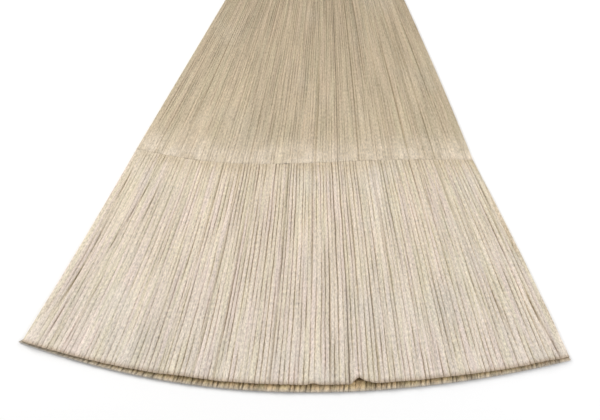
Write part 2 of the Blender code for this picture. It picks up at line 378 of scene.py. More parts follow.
class Wire:
    """A socket of a node tree. Sums and products that are written with it add the Math nodes for them."""

    def __init__(self, tree, socket=None):
        self.tree = tree
        self.socket = socket

    def node(self, kind, settings=(), inputs=(), output=0):
        """Adds a node, its settings first, then the values or links of its sockets, and gives one output."""
        made = self.tree.nodes.new(kind)
        for key, value in dict(settings).items():
            setattr(made, key, value)
        for key, value in dict(inputs).items():
            if isinstance(value, Wire):
                self.tree.links.new(value.socket, made.inputs[key])
            else:
                made.inputs[key].default_value = value
        return Wire(self.tree, made.outputs[output])

    def out(self, name):
        return Wire(self.tree, self.socket.node.outputs[name])

    def math(self, operation, *others):
        """A Math node that works on this wire and on the values after it."""
        return self.node("ShaderNodeMath", {"operation": operation}, dict(enumerate((self,) + others)))

    def __add__(self, other):
        return self.math("ADD", other)

    __radd__ = __add__

    def __sub__(self, other):
        return self.math("SUBTRACT", other)

    def __rsub__(self, other):
        return -self + other

    def __mul__(self, other):
        return self.math("MULTIPLY", other)

    __rmul__ = __mul__

    def __truediv__(self, other):
        return self.math("DIVIDE", other)

    def __pow__(self, other):
        return self.math("POWER", other)

    def __neg__(self):
        return self * -1.0

    def at_most(self, limit):
        return self.math("MINIMUM", limit)

    def at_least(self, limit):
        return self.math("MAXIMUM", limit)

    def between(self, low, high):
        """0 below the low value, 1 above the high one, and a soft rise from one to the other."""
        settings = {"interpolation_type": "SMOOTHSTEP"}
        return self.node("ShaderNodeMapRange", settings, {"Value": self, "From Min": low, "From Max": high})

    def hump(self, half_width):
        """1 where the value is 0, and falling softly on both sides of it."""
        away = self / half_width
        return (-(away * away)).math("EXPONENT")

    def vector(self, x, y, z=0.0):
        return self.node("ShaderNodeCombineXYZ", (), {"X": x, "Y": y, "Z": z})

    def parts(self):
        return self.node("ShaderNodeSeparateXYZ", (), {0: self})

    def geometry(self):
        """The geometry of the object that this wire brings."""
        return self.node("GeometryNodeObjectInfo", (), {"Object": self}, "Geometry")

    def noise(self, vector, scale=1.0, detail=1.0):
        """Soft noise that mostly lies between 0.3 and 0.7."""
        return self.node("ShaderNodeTexNoise", (), {"Vector": vector, "Scale": scale, "Detail": detail})

    def fact(self, geometry, name, index, domain):
        """The value that a carrier's geometry holds under a name, at one of its points or lines."""
        value = self.node("GeometryNodeInputNamedAttribute", {"data_type": "FLOAT"}, {"Name": name})
        inputs = {"Geometry": geometry, "Value": value, "Index": index}
        return self.node("GeometryNodeSampleIndex", {"data_type": "FLOAT", "domain": domain}, inputs)


def new_tree(name, inputs):
    """A node tree with named inputs, listed by their kind, and the wires that come from them."""
    tree = bpy.data.node_groups.new(name, "GeometryNodeTree")
    tree.interface.new_socket("Geometry", in_out="OUTPUT", socket_type="NodeSocketGeometry")
    for kind, keys in inputs.items():
        for key in keys:
            tree.interface.new_socket(key, in_out="INPUT", socket_type="NodeSocket" + kind)
    group = Wire(tree).node("NodeGroupInput")
    return group, {key: group.out(key) for keys in inputs.values() for key in keys}


def end_tree(wire, material):
    """Ends a tree: its instances are made real, and its material is set."""
    real = wire.node("GeometryNodeRealizeInstances", (), {"Geometry": wire})
    smooth = wire.node("GeometryNodeSetShadeSmooth", (), {"Geometry": real})
    done = wire.node("GeometryNodeSetMaterial", (), {"Geometry": smooth, "Material": material})
    end = wire.tree.nodes.new("NodeGroupOutput")
    wire.tree.links.new(done.socket, end.inputs[0])
    return wire.tree


def plain_mesh(thing):
    """Turns what an object's modifiers make into its own plain mesh."""
    bpy.context.view_layer.update()
    seen = thing.evaluated_get(bpy.context.evaluated_depsgraph_get())
    mesh = bpy.data.meshes.new_from_object(seen)
    thing.modifiers.clear()
    thing.data = mesh
    mesh.name = thing.name
    return thing


def made_by(tree, name, values):
    """A new object whose mesh the tree makes from the values of its inputs."""
    thing = add_object(name, bpy.data.meshes.new(name))
    modifier = thing.modifiers.new(name, "NODES")
    modifier.node_group = tree
    for item in tree.interface.items_tree:
        if item.in_out == "INPUT":
            modifier[item.identifier] = values[item.name]
    return plain_mesh(thing)


PANEL_LINES = ("Top", "Bottom", "Far")

# The turned-up hem: how far in the cloth rises and has the edge's colour, and how far each rib's end stands
# out, as a share of the hem's rise
HEM_RISE_WIDTH = 0.016
HEM_EDGE_WIDTH = 0.0042
RIB_END = 1.5
RIB_END_WIDTH = 0.006

# Seams: the gaps at the floor and between panels, the groove along a seam, the ribs pressed flat beside it,
# and the puff and the puckers a little further off
FLOOR_GAP = 0.0003
SEAM_GAP = 0.0003
SEAM_ROLL = 0.0012
ROLL_WIDTH = 0.0026
ROLL_SHARE = 0.6
PRESSED_SHARE = 0.45
PRESSED_WIDTH = 0.0050
PUFF_PLACE = 0.022
PUFF_WIDTH = 0.014
PUFF_CHANGE = 0.35
PUCKER_PLACE = 0.012
PUCKER_WIDTH = 0.012

# A crease this deep flattens the ribs. Rows are closer at a panel's ends. A swell starts and ends softly, and
# a curl grows with this power of the way down the panel's lower half
DEEPEST_CREASE = 0.0014
END_CLOSENESS = 0.135
SWELL_SOFTNESS = 0.1
CURL_POWER = 5.0

# Where a valley dies out in its noise, where the calm sides start and end on the way from the middle, and how
# much the valleys' depth, the side folds' height and the smaller wobble change
DYING = (0.42, 0.64)
CALM = (0.25, 0.80)
VALLEY_CHANGE = 0.5
SIDE_CHANGE = 0.08
SMALL_WOBBLE = 0.4

# The noises that make a panel uneven: their changes along the first and the second way, 1 for a noise of the
# panel's own or 0 for one that all panels share, and a shift between noises
NOISE_SPREAD = 3.6
PANEL_NOISES = {
    "waver": (34.0, 0.0, 0, 7.0),
    "dying": (7.31, 3.4, 1, 0.0),
    "depth": (5.17, 2.8, 1, 3.0),
    "valley": (3.3, 3.0, 1, 5.0),
    "broad": (7.0, 1.6, 1, 9.0),
    "fine": (24.0, 3.0, 1, 0.0),
    "puff": (26.0, 1.0, 1, 0.0),
    "pucker": (110.0, 30.0, 1, 11.0),
    "roll": (15.0, 0.0, 0, 21.0),
    "side": (9.0, 3.0, 1, 13.0),
    "wobble": (40.0, 6.0, 1, 17.0),
    "small wobble": (90.0, 22.0, 0, 5.0),
}


def crossing_point(at, name, across):
    """The x and y of a crossing line at a share of the way across."""
    left, right = (at[f"{name} {side} end"].parts() for side in ("left", "right"))
    sag = at[f"{name} sag"] * (1.0 - (2.0 * across - 1.0) ** 2.0)
    skew = at[f"{name} skew"] * (2 * math.pi * across).math("SINE")
    x = mix(left.out("X"), right.out("X"), across)
    y = mix(left.out("Y"), right.out("Y"), across) - sag - skew
    return x, y


def pleated_panel_tree():
    """The tree of a pleated panel: a grid of points, each put in its place between two crossing lines."""
    tree, at = new_tree("pleated_panel", PANEL_INPUTS)
    rows = at["Rows"] + at["Reach rows"] + at["Turn rows"]
    grid = tree.node("GeometryNodeMeshGrid", (), {"Vertices X": at["Columns"], "Vertices Y": rows})
    index = tree.node("GeometryNodeInputIndex")
    column_index = (index / rows).math("FLOOR")
    row = rows - 1.0 - (index - column_index * rows)
    columns = at["Fold row"].geometry()
    seed = at["Seed"]

    def fact(name):
        return tree.fact(columns, name, column_index, "POINT")

    def soft(key, first, second=0.0):
        """One of the panel's noises."""
        first_change, second_change, own, shift = PANEL_NOISES[key]
        return tree.noise(tree.vector(first * first_change, second * second_change, seed * own + shift))

    def rough(key, first, second=0.0):
        """The same, about 0 and mostly between -1 and 1."""
        return (soft(key, first, second) - 0.5) * NOISE_SPREAD

    # How far along the panel a row lies: down the cloth, past the front's hem, and round the turned hem
    across = fact("across")
    last = at["Rows"] - 1.0
    main = (row / last).at_most(1.0)
    past = row - last
    reach = (past / at["Reach rows"].at_least(1.0)).at_least(0.0).at_most(1.0)
    reach = reach * at["Reach rows"].at_most(1.0)
    turn = ((past - at["Reach rows"]) / at["Turn rows"].at_least(1.0)).at_least(0.0).at_most(1.0)
    angle = (turn * 2.0).at_most(1.0) * math.pi
    back = at["Hem allowance"] * (turn * 2.0 - 1.0).at_least(0.0)

    x_top, y_top = crossing_point(at, "Top", across)
    x_bottom, y_bottom = crossing_point(at, "Bottom", across)
    x_far, y_far = crossing_point(at, "Far", across)
    waver = rough("waver", across)
    y_top = y_top + at["Onwards"] * SEAM_GAP / 2 + waver * at["Top waver"]
    y_bottom = y_bottom - at["Onwards"] * SEAM_GAP / 2 + waver * at["Bottom waver"]

    # Closer rows at both ends, and the way back along the turned hem
    down = main - END_CLOSENESS * (2 * math.pi * main).math("SINE")
    reach_length = (y_bottom - y_far).math("ABSOLUTE").at_least(1e-6)
    reach_now = (reach - back / reach_length).at_least(0.0)
    beyond = (back - reach * reach_length).at_least(0.0)
    down = down - beyond / at["Length"]
    from_top = down * at["Length"]
    from_bottom = (1.0 - down) * at["Length"]
    from_edge = from_bottom + (1.0 - reach_now) * reach_length

    # Creases: the nearest line that is drawn on the flat cloth, and how far away it runs
    lines = at["Crease lines"].geometry()
    near = {"Geometry": lines, "Sample Position": tree.vector(across * at["Width"], from_top)}
    away = tree.node("GeometryNodeProximity", {"target_element": "EDGES"}, near, "Distance")
    line = tree.node("GeometryNodeSampleNearest", {"domain": "EDGE"}, near)
    crease = tree.fact(lines, "deep", line, "EDGE") * away.hump(tree.fact(lines, "half", line, "EDGE"))
    creased = (crease / DEEPEST_CREASE).at_most(1.0)

    def near_seams(kind, place, width):
        """The roll or puff at the panel's top and bottom seams, as a soft hump at a distance from each."""
        top = at[f"Top {kind}"] * (from_top - place).hump(width)
        return top + at[f"Bottom {kind}"] * (from_bottom - place).hump(width)

    # Heights: ribs that rise, fade and pair, on soft swells, with rolled and puckered seams
    swell_in = down.between(fact("swell_from") - SWELL_SOFTNESS, fact("swell_from") + SWELL_SOFTNESS)
    swell_out = 1.0 - down.between(fact("swell_to") - SWELL_SOFTNESS, fact("swell_to") + SWELL_SOFTNESS)
    swell = fact("swell") * swell_in * swell_out
    dying = soft("dying", fact("valley"), down).between(*DYING) * at["Fading"]
    from_middle = (2.0 * across - 1.0).math("ABSOLUTE")
    calm = from_middle.between(*CALM) * mix(at["Calm left"], at["Calm right"], across)
    faded = (1.0 - (1.0 - dying) * (1.0 - calm)) * (1.0 - creased)
    fold = 1.0 - (1.0 - fact("fold")) * (1.0 - faded)
    pressed = 1.0 - PRESSED_SHARE * near_seams("roll", 0.0, PRESSED_WIDTH) / SEAM_ROLL
    depth = mix(mix(at["Depth at top"], at["Depth at bottom"], down), at["Depth at end"], reach_now)
    uneven_depth = 1.0 + at["Depth change"] * rough("depth", fact("pleat"), down)
    sunk = at["Valley depth"] * (1.0 + VALLEY_CHANGE * rough("valley", fact("valley"), down))
    ribs = (fold * depth * uneven_depth - (1.0 - fold) * sunk) * pressed
    broad = at["Swell"] * rough("broad", across, down) + at["Fine swell"] * rough("fine", across, down)
    in_face = (across * math.pi).math("SINE")
    puff = near_seams("puff", PUFF_PLACE, PUFF_WIDTH) * (1.0 + PUFF_CHANGE * rough("puff", across, 1.0))
    near_seam = near_seams("roll", PUCKER_PLACE, PUCKER_WIDTH)
    pucker = at["Pucker"] * near_seam / SEAM_ROLL * rough("pucker", across, from_top)
    rolled = (ROLL_SHARE + ROLL_SHARE * rough("roll", across)).at_least(0.0)
    roll = near_seams("roll", 0.0, ROLL_WIDTH) * rolled
    curl = (2.0 * down - 1.0).at_least(0.0) ** CURL_POWER

    z = at["Height"] + ribs + broad * in_face + swell + puff + pucker
    z = z + curl * fact("curl_lift") - crease - roll
    z = (z + at["Hem rise"] * from_edge.hump(HEM_RISE_WIDTH)).at_least(at["Lowest"])
    side_height = fact("side_height") * (1.0 + SIDE_CHANGE * rough("side", down, across))
    z = mix(z, side_height, fact("side"))
    inwards = fact("inwards")
    turned = at["Hem side"] * at["Hem radius"] * (1.0 - angle.math("COSINE"))
    z = (z - turned * (1.0 - inwards * inwards)).at_least(FLOOR_GAP)

    # Places: along the straight pleat lines, which wobble a little
    bow = mix(-at["Bow left"], at["Bow right"], across) * (down * math.pi).math("SINE")
    wobble = rough("wobble", across, down) + SMALL_WOBBLE * rough("small wobble", across, down)
    x = mix(mix(x_top, x_bottom, down) + bow, x_far, reach_now) + fact("inset") * (1.0 - reach_now)
    x = x + at["Wobble"] * wobble * in_face + turned * inwards
    y = mix(mix(y_top, y_bottom, down), y_far, reach_now) + curl * fact("curl_pull")
    y = y + at["Onwards"] * at["Hem radius"] * angle.math("SINE")
    y = y - RIB_END * at["Hem rise"] * (fold - 0.5) * from_edge.hump(RIB_END_WIDTH)

    cloth = tree.vector(fact("cloth") * at["Cloth per pleat"], from_top + reach_now * reach_length)
    edge = from_edge.hump(HEM_EDGE_WIDTH) * at["Turn rows"].at_most(1.0)
    kept = [
        ("row", "INT", row), ("fold", "FLOAT", fold), ("down", "FLOAT", down), ("crease", "FLOAT", creased),
        ("edge", "FLOAT", edge), ("cloth", "FLOAT_VECTOR", cloth),
        ("place", "FLOAT_VECTOR", tree.vector(x, y, z)),
    ]
    panel = grid
    for name, kind, value in kept:
        inputs = {"Geometry": panel, "Name": name, "Value": value}
        panel = tree.node("GeometryNodeStoreNamedAttribute", {"data_type": kind, "domain": "POINT"}, inputs)
    place = tree.node("GeometryNodeInputNamedAttribute", {"data_type": "FLOAT_VECTOR"}, {"Name": "place"})
    panel = tree.node("GeometryNodeSetPosition", (), {"Geometry": panel, "Position": place})
    panel = tree.node("GeometryNodeRemoveAttribute", (), {"Geometry": panel, "Name": "place"})
    return end_tree(panel, at["Material"])


def pleated_panel(name, columns, creases, lines, values, material):
    """One panel of pleated cloth, as a single layer of faces."""
    points = [(0, 0, 0)] * len(columns)
    row = carrier("fold_row", points, [], "POINT", {fact: [c[fact] for c in columns] for fact in columns[0]})
    drawn = crease_lines(creases, values["Width"], values["Length"])
    given = {"Fold row": row, "Crease lines": drawn, "Columns": len(columns), "Material": material}
    for key, line in zip(PANEL_LINES, lines):
        given.update({f"{key} {part}": value for part, value in line.items()})
    panel = made_by(PANEL_TREE, name, {**values, **given})
    bpy.data.objects.remove(row)
    bpy.data.objects.remove(drawn)
    if values["Onwards"] > 0:
        panel.data.flip_normals()
    return panel


CLOTH_WALL = 0.0004


def give_wall(panel):
    """Gives a single layer of cloth its thickness, downwards from the face that was shaped."""
    wall = panel.modifiers.new("wall", "SOLIDIFY")
    wall.thickness = CLOTH_WALL
    wall.offset = -1
    return plain_mesh(panel)


# How the cloth varies: the changes per metre across and along the pleats, and a shift between noises. Three
# more noises fill space, with their changes per metre and steps of detail
CLOTH_NOISES = {
    "streak": (175.0, 14.0, 0.0),
    "slub": (420.0, 60.0, 3.0),
    "grain": (430.0, 200.0, 7.0),
    "tone": (48.0, 5.0, 5.0),
    "tint": (88.0, 7.0, 11.0),
    "fleck": (300.0, 110.0, 17.0),
}
SPACE_NOISES = {"fine": (1100.0, 1.0), "broad": (9.0, 2.0), "cloud": (42.0, 2.0)}

# Where a noise starts and ends to show as each mark, and how much of each there is on every cloth
MARKS = {
    "rose": (0.50, 0.64), "sage": (0.36, 0.50), "patch": (0.50, 0.72), "cloud": (0.35, 0.65),
    "fleck": (0.60, 0.70), "glint": (0.62, 0.70),
}
RIB_GRAIN = 0.5
PATCH_SHARE = 0.4
BAND_EVEN = 0.45
CREASE_SHADE_POWER = 1.3
EDGE_SHARE = 0.9
FINE_SPECKS = 0.6
SLUB_SPECKS = 0.35
WEAVE_PITCH = 0.0007
WEAVE_RELIEF = 0.25
SLUB_RELIEF = 1.6
GRAIN_RELIEF = 2.2
STREAK_RELIEF = 1.2
RELIEF_HEIGHT = 0.0004
RELIEF_STRENGTH = 0.8
CLOTH_ROUGHNESS = 0.62
GLINT_SHINE = 0.25


def new_material(name):
    """A material with no nodes yet, and a wire to add them with."""
    material = bpy.data.materials.new(name)
    material.use_nodes = True
    material.node_tree.nodes.clear()
    return material, Wire(material.node_tree)


def end_material(material, wire, inputs):
    """Ends a material with its shader."""
    shader = wire.node("ShaderNodeBsdfPrincipled", (), inputs)
    end = wire.tree.nodes.new("ShaderNodeOutputMaterial")
    wire.tree.links.new(shader.socket, end.inputs["Surface"])
    return material


def cloth_material(name, look):
    """The pleated cloth: cream ribs, painted golden shade in the valleys, no two quite the same tone."""
    material, cloth = new_material(name)
    spot = cloth.node("ShaderNodeTexCoord", output="Object")
    thread = cloth.node("ShaderNodeAttribute", {"attribute_name": "cloth"}, output="Vector")
    fold, down, crease, edge = (
        cloth.node("ShaderNodeAttribute", {"attribute_name": key}, output="Fac")
        for key in ("fold", "down", "crease", "edge")
    )

    def on_cloth(key):
        """Noise that is stretched along the pleats."""
        across, along, shift = CLOTH_NOISES[key]
        inputs = {0: thread, 1: (across, along, 0.0), 2: (0.0, shift, shift)}
        stretched = cloth.node("ShaderNodeVectorMath", {"operation": "MULTIPLY_ADD"}, inputs)
        return cloth.noise(stretched, 1.0, 2.0)

    def blend(low, high, share):
        inputs = {0: share, 6: low, 7: high}
        return cloth.node("ShaderNodeMix", {"data_type": "RGBA"}, inputs, 2)

    streak, slub, grain, tone, tint, fleck = (on_cloth(key) for key in CLOTH_NOISES)
    fine, broad, cloud = (cloth.noise(spot, scale, detail) for scale, detail in SPACE_NOISES.values())
    shown = fold + look["streaks"] * (streak - 0.5) + RIB_GRAIN * (grain - 0.5)
    rib = shown.between(look["valley_to"] - look["soft"], look["valley_to"] + look["soft"])
    # A waist end darker than the hem end is painted shade
    ridge = blend(look["ridge_top"], look["ridge_bottom"], down)
    ridge = blend(ridge, look["rose"], look["tints"] * tint.between(*MARKS["rose"]))
    ridge = blend(ridge, look["sage"], look["tints"] * (1.0 - tint.between(*MARKS["sage"])))
    # The valleys' colour is painted shade, darker and more golden than the ribs
    valley = blend(look["valley_shade_top"], look["valley_shade_bottom"], down)
    colour = blend(valley, ridge, rib)
    colour = blend(colour, look["patch"], PATCH_SHARE * broad.between(*MARKS["patch"]))
    # Band by the seam: painted shade on the lower tier, painted highlight where the upper tier puffs over it
    clouded = mix(BAND_EVEN, 1.0, cloud.between(*MARKS["cloud"]))
    seam_light_shade_mask = (down - look["band_at"]).hump(look["band_width"]) * clouded
    colour = blend(colour, look["band"], look["seam_light_shade_share"] * seam_light_shade_mask)
    # Creases get a painted shade
    colour = blend(colour, look["crease"], look["creases"] * crease ** CREASE_SHADE_POWER)
    # The lower front's edge colour is a painted shade on its rounded hem
    colour = blend(colour, look["edge"], EDGE_SHARE * edge)
    speck = 1.0 + look["specks"] * (grain - 0.5) + FINE_SPECKS * look["specks"] * (fine - 0.5)
    speck = speck + SLUB_SPECKS * (slub - 0.5)
    speck = speck + look["tones"] * (tone - 0.5) + look["lines"] * (streak - 0.5)
    speck = speck - look["flecks"] * fleck.between(*MARKS["fleck"])
    colour = cloth.node("ShaderNodeVectorMath", {"operation": "SCALE"}, {0: colour, "Scale": speck})
    glint = fine.between(*MARKS["glint"]) * look["glint"]

    weave_scale = 2 * math.pi / WEAVE_PITCH
    parts = thread.parts()
    warp = (parts.out("X") * weave_scale).math("SINE")
    weft = (parts.out("Y") * weave_scale).math("SINE")
    relief = WEAVE_RELIEF * warp * weft + SLUB_RELIEF * (slub - 0.5) + GRAIN_RELIEF * (grain - 0.5)
    relief = relief + STREAK_RELIEF * (streak - 0.5)
    inputs = {"Height": relief, "Distance": RELIEF_HEIGHT, "Strength": RELIEF_STRENGTH}
    bump = cloth.node("ShaderNodeBump", (), inputs)

    return end_material(material, cloth, {
        "Base Color": colour, "Roughness": CLOTH_ROUGHNESS - GLINT_SHINE * glint, "Metallic": glint,
        "Normal": bump, "Sheen Weight": 0.25, "Sheen Roughness": 0.45, "Specular IOR Level": 0.30,
    })


def show_as(piece, node):
    """Puts a finished piece of cloth under the root, and hides the node that it stands for."""
    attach(piece, "root")
    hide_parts(node)


LOWER_FRONT = {
    "Rows": 56, "Reach rows": 0, "Turn rows": 8, "Width": LOWER_WIDTH, "Length": 0.365, "Onwards": -1.0,
    "Top waver": 0.0010, "Bottom waver": 0.0006, "Bow left": -0.002, "Bow right": 0.003,
    "Height": 0.0053, "Lowest": 0.0042,
    "Depth at top": 0.0025, "Depth at bottom": 0.0033, "Depth at end": 0.0033,
    "Depth change": 0.30, "Valley depth": 0.0007, "Fading": 0.62, "Calm left": 0.46, "Calm right": 0.0,
    "Wobble": 0.0008, "Swell": 0.00045, "Fine swell": 0.00035,
    "Top roll": 0.0004, "Bottom roll": 0.0, "Top puff": 0.0006, "Bottom puff": 0.0, "Pucker": 0.0012,
    "Hem allowance": HEM_ALLOWANCE, "Hem radius": 0.0006, "Hem side": 1.0, "Hem rise": 0.0013,
    "Cloth per pleat": LOWER_CLOTH_PER_PLEAT, "Seed": 2.0,
}
PANEL_INPUTS = {
    "Object": ["Fold row", "Crease lines"],
    "Material": ["Material"],
    "Int": ["Columns", "Rows", "Reach rows", "Turn rows"],
    "Vector": [f"{line} {side} end" for line in PANEL_LINES for side in ("left", "right")],
    "Float": [f"{line} {bend}" for line in PANEL_LINES for bend in ("sag", "skew")] + [
        key for key, value in LOWER_FRONT.items() if isinstance(value, float)
    ],
}
PANEL_TREE = pleated_panel_tree()

# Colours in linear light, from the waist end to the hem end of the tier, where a rib's valley ends and how
# softly, the lighter or darker band along the seam, and how strong the cloth's uneven marks are. The
# darker waist end, the valleys, the creases, the hem's rounded edge and a darker band are painted shade, and
# a lighter band is a painted highlight
LOWER_LOOK = {
    "ridge_top": (0.715, 0.608, 0.466, 1), "ridge_bottom": (0.735, 0.65, 0.555, 1),
    "rose": (0.745, 0.62, 0.565, 1), "sage": (0.69, 0.625, 0.455, 1), "tints": 0.50,
    "valley_shade_top": (0.44, 0.33, 0.17, 1), "valley_shade_bottom": (0.45, 0.34, 0.19, 1),
    "patch": (0.66, 0.615, 0.525, 1), "crease": (0.27, 0.18, 0.07, 1), "creases": 0.60,
    "edge": (0.46, 0.36, 0.26, 1),
    "band": (0.56, 0.455, 0.31, 1), "seam_light_shade_share": 0.65, "band_at": 0.004, "band_width": 0.050,
    "valley_to": 0.42, "soft": 0.34, "streaks": 0.5, "specks": 1.05, "tones": 0.5, "lines": 0.38,
    "flecks": 0.16, "glint": 0.35,
}
lower_cloth = cloth_material("lower_tier_cloth", LOWER_LOOK)


def tier_front(tier, creases, swells, curls, steps, lines, values, material):
    """The two parts of a tier's front, from each side fold to the closing seam."""
    panels = []
    for part in FRONT_PARTS:
        side = part["side"]
        columns = pleat_columns(part["first"], part["count"], part["start"], part["end"], steps)
        columns = side_columns(side) + columns if side == "left" else columns + side_columns(side)
        lay_swells(columns, swells, values["Width"])
        lay_curls(columns, curls, side)
        panels.append(pleated_panel(f"{tier}_front_{side}_cloth", columns, creases, lines, values, material))
    return panels


LOWER_STEPS = 10
lower_fronts = tier_front(
    "lower", LOWER_CREASES, LOWER_SWELLS, HEM_CURLS, LOWER_STEPS, (TIER_SEAM, FRONT_HEM, FRONT_HEM),
    LOWER_FRONT, lower_cloth,
)


# Hem stitches, front
# One row of machine stitches, sewn through both layers of the turned-up hem before the cloth was pleated, so
# that it runs up and down over the pleats. The thread is a fine cream polyester.
STITCH_INPUTS = {
    "Object": ["Cloth"], "Material": ["Material"], "Int": ["Row"],
    "Float": ["Stitch pitch", "Stitch length", "Thread width", "Rise", "Foot"],
}


def stitch_tree():
    """The tree of a row of stitches: one row of a panel's points as a path, with a stitch at each step."""
    tree, at = new_tree("stitch_row", STITCH_INPUTS)
    cloth = at["Cloth"].geometry()
    row = tree.node("GeometryNodeInputNamedAttribute", {"data_type": "INT"}, {"Name": "row"})
    other = (row - at["Row"]).math("ABSOLUTE").math("GREATER_THAN", 0.5)
    place = tree.node("GeometryNodeInputPosition").parts()
    low = place.out("Z").math("LESS_THAN", at["Foot"])
    left_out = {"Geometry": cloth, "Selection": other.at_least(low)}
    line = tree.node("GeometryNodeDeleteGeometry", {"domain": "POINT"}, left_out)
    path = tree.node("GeometryNodeMeshToCurve", (), {"Mesh": line})
    inputs = {"Curve": path, "Length": at["Stitch pitch"]}
    steps = tree.node("GeometryNodeResampleCurve", {"mode": "LENGTH"}, inputs)
    ball = tree.node("GeometryNodeMeshUVSphere", (), {"Segments": 6, "Rings": 4, "Radius": 0.5})
    shape = tree.vector(at["Thread width"], at["Thread width"], at["Stitch length"])
    stitch = tree.node("GeometryNodeTransform", (), {"Geometry": ball, "Scale": shape})
    tangent = tree.node("GeometryNodeInputTangent")
    turned = tree.node("FunctionNodeAlignRotationToVector", {"axis": "Z"}, {"Vector": tangent})
    inputs = {"Points": steps, "Instance": stitch, "Rotation": turned}
    sewn = tree.node("GeometryNodeInstanceOnPoints", (), inputs)
    lifted = tree.vector(0.0, 0.0, at["Rise"])
    inputs = {"Instances": sewn, "Translation": lifted, "Local Space": False}
    sewn = tree.node("GeometryNodeTranslateInstances", (), inputs)
    return end_tree(sewn, at["Material"])


THREAD_CREAM = (0.62, 0.54, 0.43)
TWIST_PITCH = 0.0005
TWIST_SHADE = 0.10
TWIST_HEIGHT = 0.00005
THREAD_NOISE = 300.0
THREAD_CHANGE = 0.3
THREAD_ROUGHNESS = 0.45


def thread_material(name, colour):
    """Twisted sewing thread: fine slanting ridges in one colour, a little darker between them."""
    material, thread = new_material(name)
    spot = thread.node("ShaderNodeTexCoord", output="Object")
    parts = spot.parts()
    slant = parts.out("X") + parts.out("Y") + parts.out("Z")
    twist = (slant * (2 * math.pi / TWIST_PITCH)).math("SINE")
    shade = 1.0 + TWIST_SHADE * twist + THREAD_CHANGE * (thread.noise(spot, THREAD_NOISE) - 0.5)
    paint = thread.node("ShaderNodeVectorMath", {"operation": "SCALE"}, {0: colour, "Scale": shade})
    bump = thread.node("ShaderNodeBump", (), {"Height": twist, "Distance": TWIST_HEIGHT})
    return end_material(material, thread, {
        "Base Color": paint, "Roughness": THREAD_ROUGHNESS, "Normal": bump, "Sheen Weight": 0.2,
    })


STITCH_TREE = stitch_tree()
STITCH_PITCH = 0.0036
STITCH_LENGTH = 0.0027
THREAD_WIDTH = 0.0004
STITCH_RISE = 0.0001
HEM_FOLDED_EDGE = 0.001
SIDE_FOOT = 0.0040
thread = thread_material("cream_thread", THREAD_CREAM)


def row_at(values, from_end):
    """The row of a panel that lies nearest to a length from the panel's lower end."""
    last = values["Rows"] - 1

    def length(row):
        share = row / last
        return (1 - share + END_CLOSENESS * math.sin(2 * math.pi * share)) * values["Length"]

    return min(range(values["Rows"]), key=lambda row: abs(length(row) - from_end))


def stitch_row(name, cloth, row, foot):
    """A row of stitches along one row of a panel's points, apart from what lies lower than the foot."""
    stitches = made_by(STITCH_TREE, name, {
        "Cloth": cloth, "Material": thread, "Row": row, "Foot": foot, "Rise": STITCH_RISE,
        "Stitch pitch": STITCH_PITCH, "Stitch length": STITCH_LENGTH, "Thread width": THREAD_WIDTH,
    })
    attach(stitches, "root")
    return stitches


hem_stitch_row = row_at(LOWER_FRONT, HEM_ALLOWANCE - HEM_FOLDED_EDGE)
for panel, part in zip(lower_fronts, FRONT_PARTS):
    side = part["side"]
    stitches = stitch_row(f"hem_stitches_front_{side}", panel, hem_stitch_row, SIDE_FOOT)
    cut = (part["count"] * LOWER_CLOTH_PER_PLEAT, LOWER_CUT_LENGTH)
    give_wall(panel)
    show_as(panel, f"lower_front_{side}")


# Lower tier, back
# The back half of the same pleated tube lies under the front, on the surface. Its hem hangs a little lower,
# so that a strip of its inner face shows, more golden and in shade, with the turned-up hem along it.
BACK_HEM = crossing_line((-0.461, -0.239), (0.440, -0.2695), 0.0675, 0.0025)
BACK_INSET = 0.0018
BACK_SIDE_HEIGHT = 0.0012
BACK_SIDE_FOLD = 0.5
BACK_STEPS = 6
BACK_CREASES = table(CREASE_COLUMNS, [
    (0.084, 0.05, 0.078, 1.50, 0.0010, 0.0015),
    (0.210, -0.40, 0.214, 0.75, 0.0008, 0.0016),
    (0.336, 0.25, 0.330, 1.50, 0.0010, 0.0015),
    (0.401, -0.50, 0.401, 1.60, 0.0011, 0.0015),
    (0.505, -0.40, 0.502, 1.50, 0.0009, 0.0016),
    (0.640, 0.15, 0.646, 1.50, 0.0010, 0.0015),
    (0.792, -0.40, 0.786, 0.85, 0.0008, 0.0016),
    (0.908, 0.10, 0.917, 1.50, 0.0010, 0.0015),
])


def back_columns(steps):
    """The columns of a back panel, with a flat margin at each side, just inside the front's side folds."""
    margin = {"side": 1.0, "side_height": BACK_SIDE_HEIGHT, "fold": BACK_SIDE_FOLD}
    ribs = pleat_columns(FACE_PLEATS, FACE_PLEATS, SIDE_FOLD_SHARE, 1 - SIDE_FOLD_SHARE, steps)
    left = column(0.0, inset=BACK_INSET, cloth=FACE_PLEATS, **margin)
    right = column(1.0, inset=-BACK_INSET, cloth=2 * FACE_PLEATS, **margin)
    return [left] + ribs + [right]


